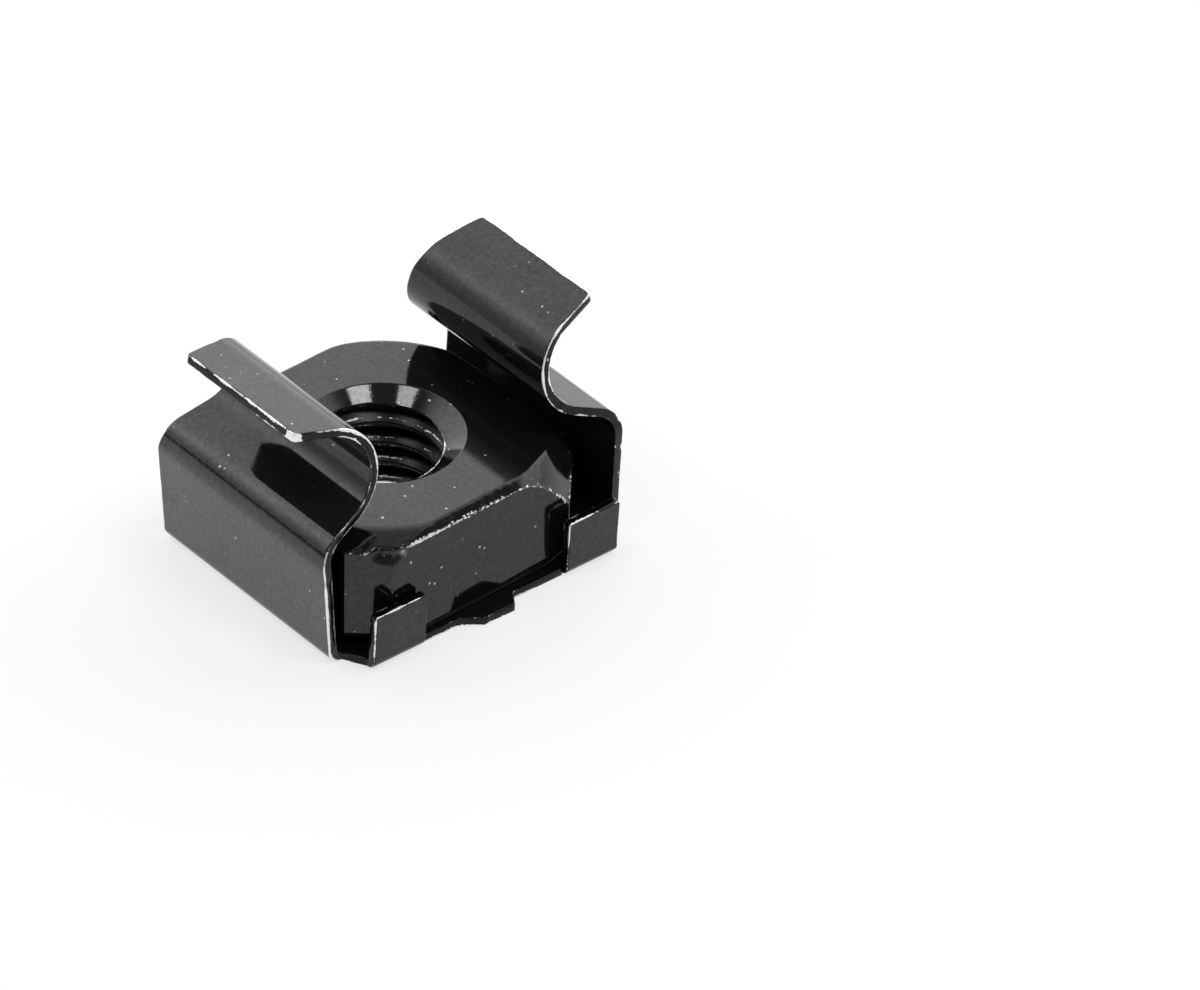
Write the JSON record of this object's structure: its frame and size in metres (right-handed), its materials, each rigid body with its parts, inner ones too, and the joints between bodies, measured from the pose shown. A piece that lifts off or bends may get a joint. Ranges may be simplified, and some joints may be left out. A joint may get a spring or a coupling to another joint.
{
  "type": "rack cage nut",
  "caption": "Square threaded nut held loosely in a folded spring-steel cage, whose curled ears snap into the square hole of an equipment rack rail.",
  "frame": {"origin": "centre of the cage's base plate, on its underside", "axes": "+Z through the nut's bore, from the base plate to the ears; X from ear to ear; Y along the walls, past the corner tabs"},
  "size_m": [0.0156, 0.0144, 0.0107],
  "materials": {
    "cage_steel": "gloss black coating on spring steel, worn bright along its sheared edges",
    "nut_steel": "gloss black coating on carbon steel, with pale specks and bright thread edges"
  },
  "bodies": {
    "root": {"cage": "cage_steel", "square_nut": "nut_steel"}
  },
  "joints": []
}
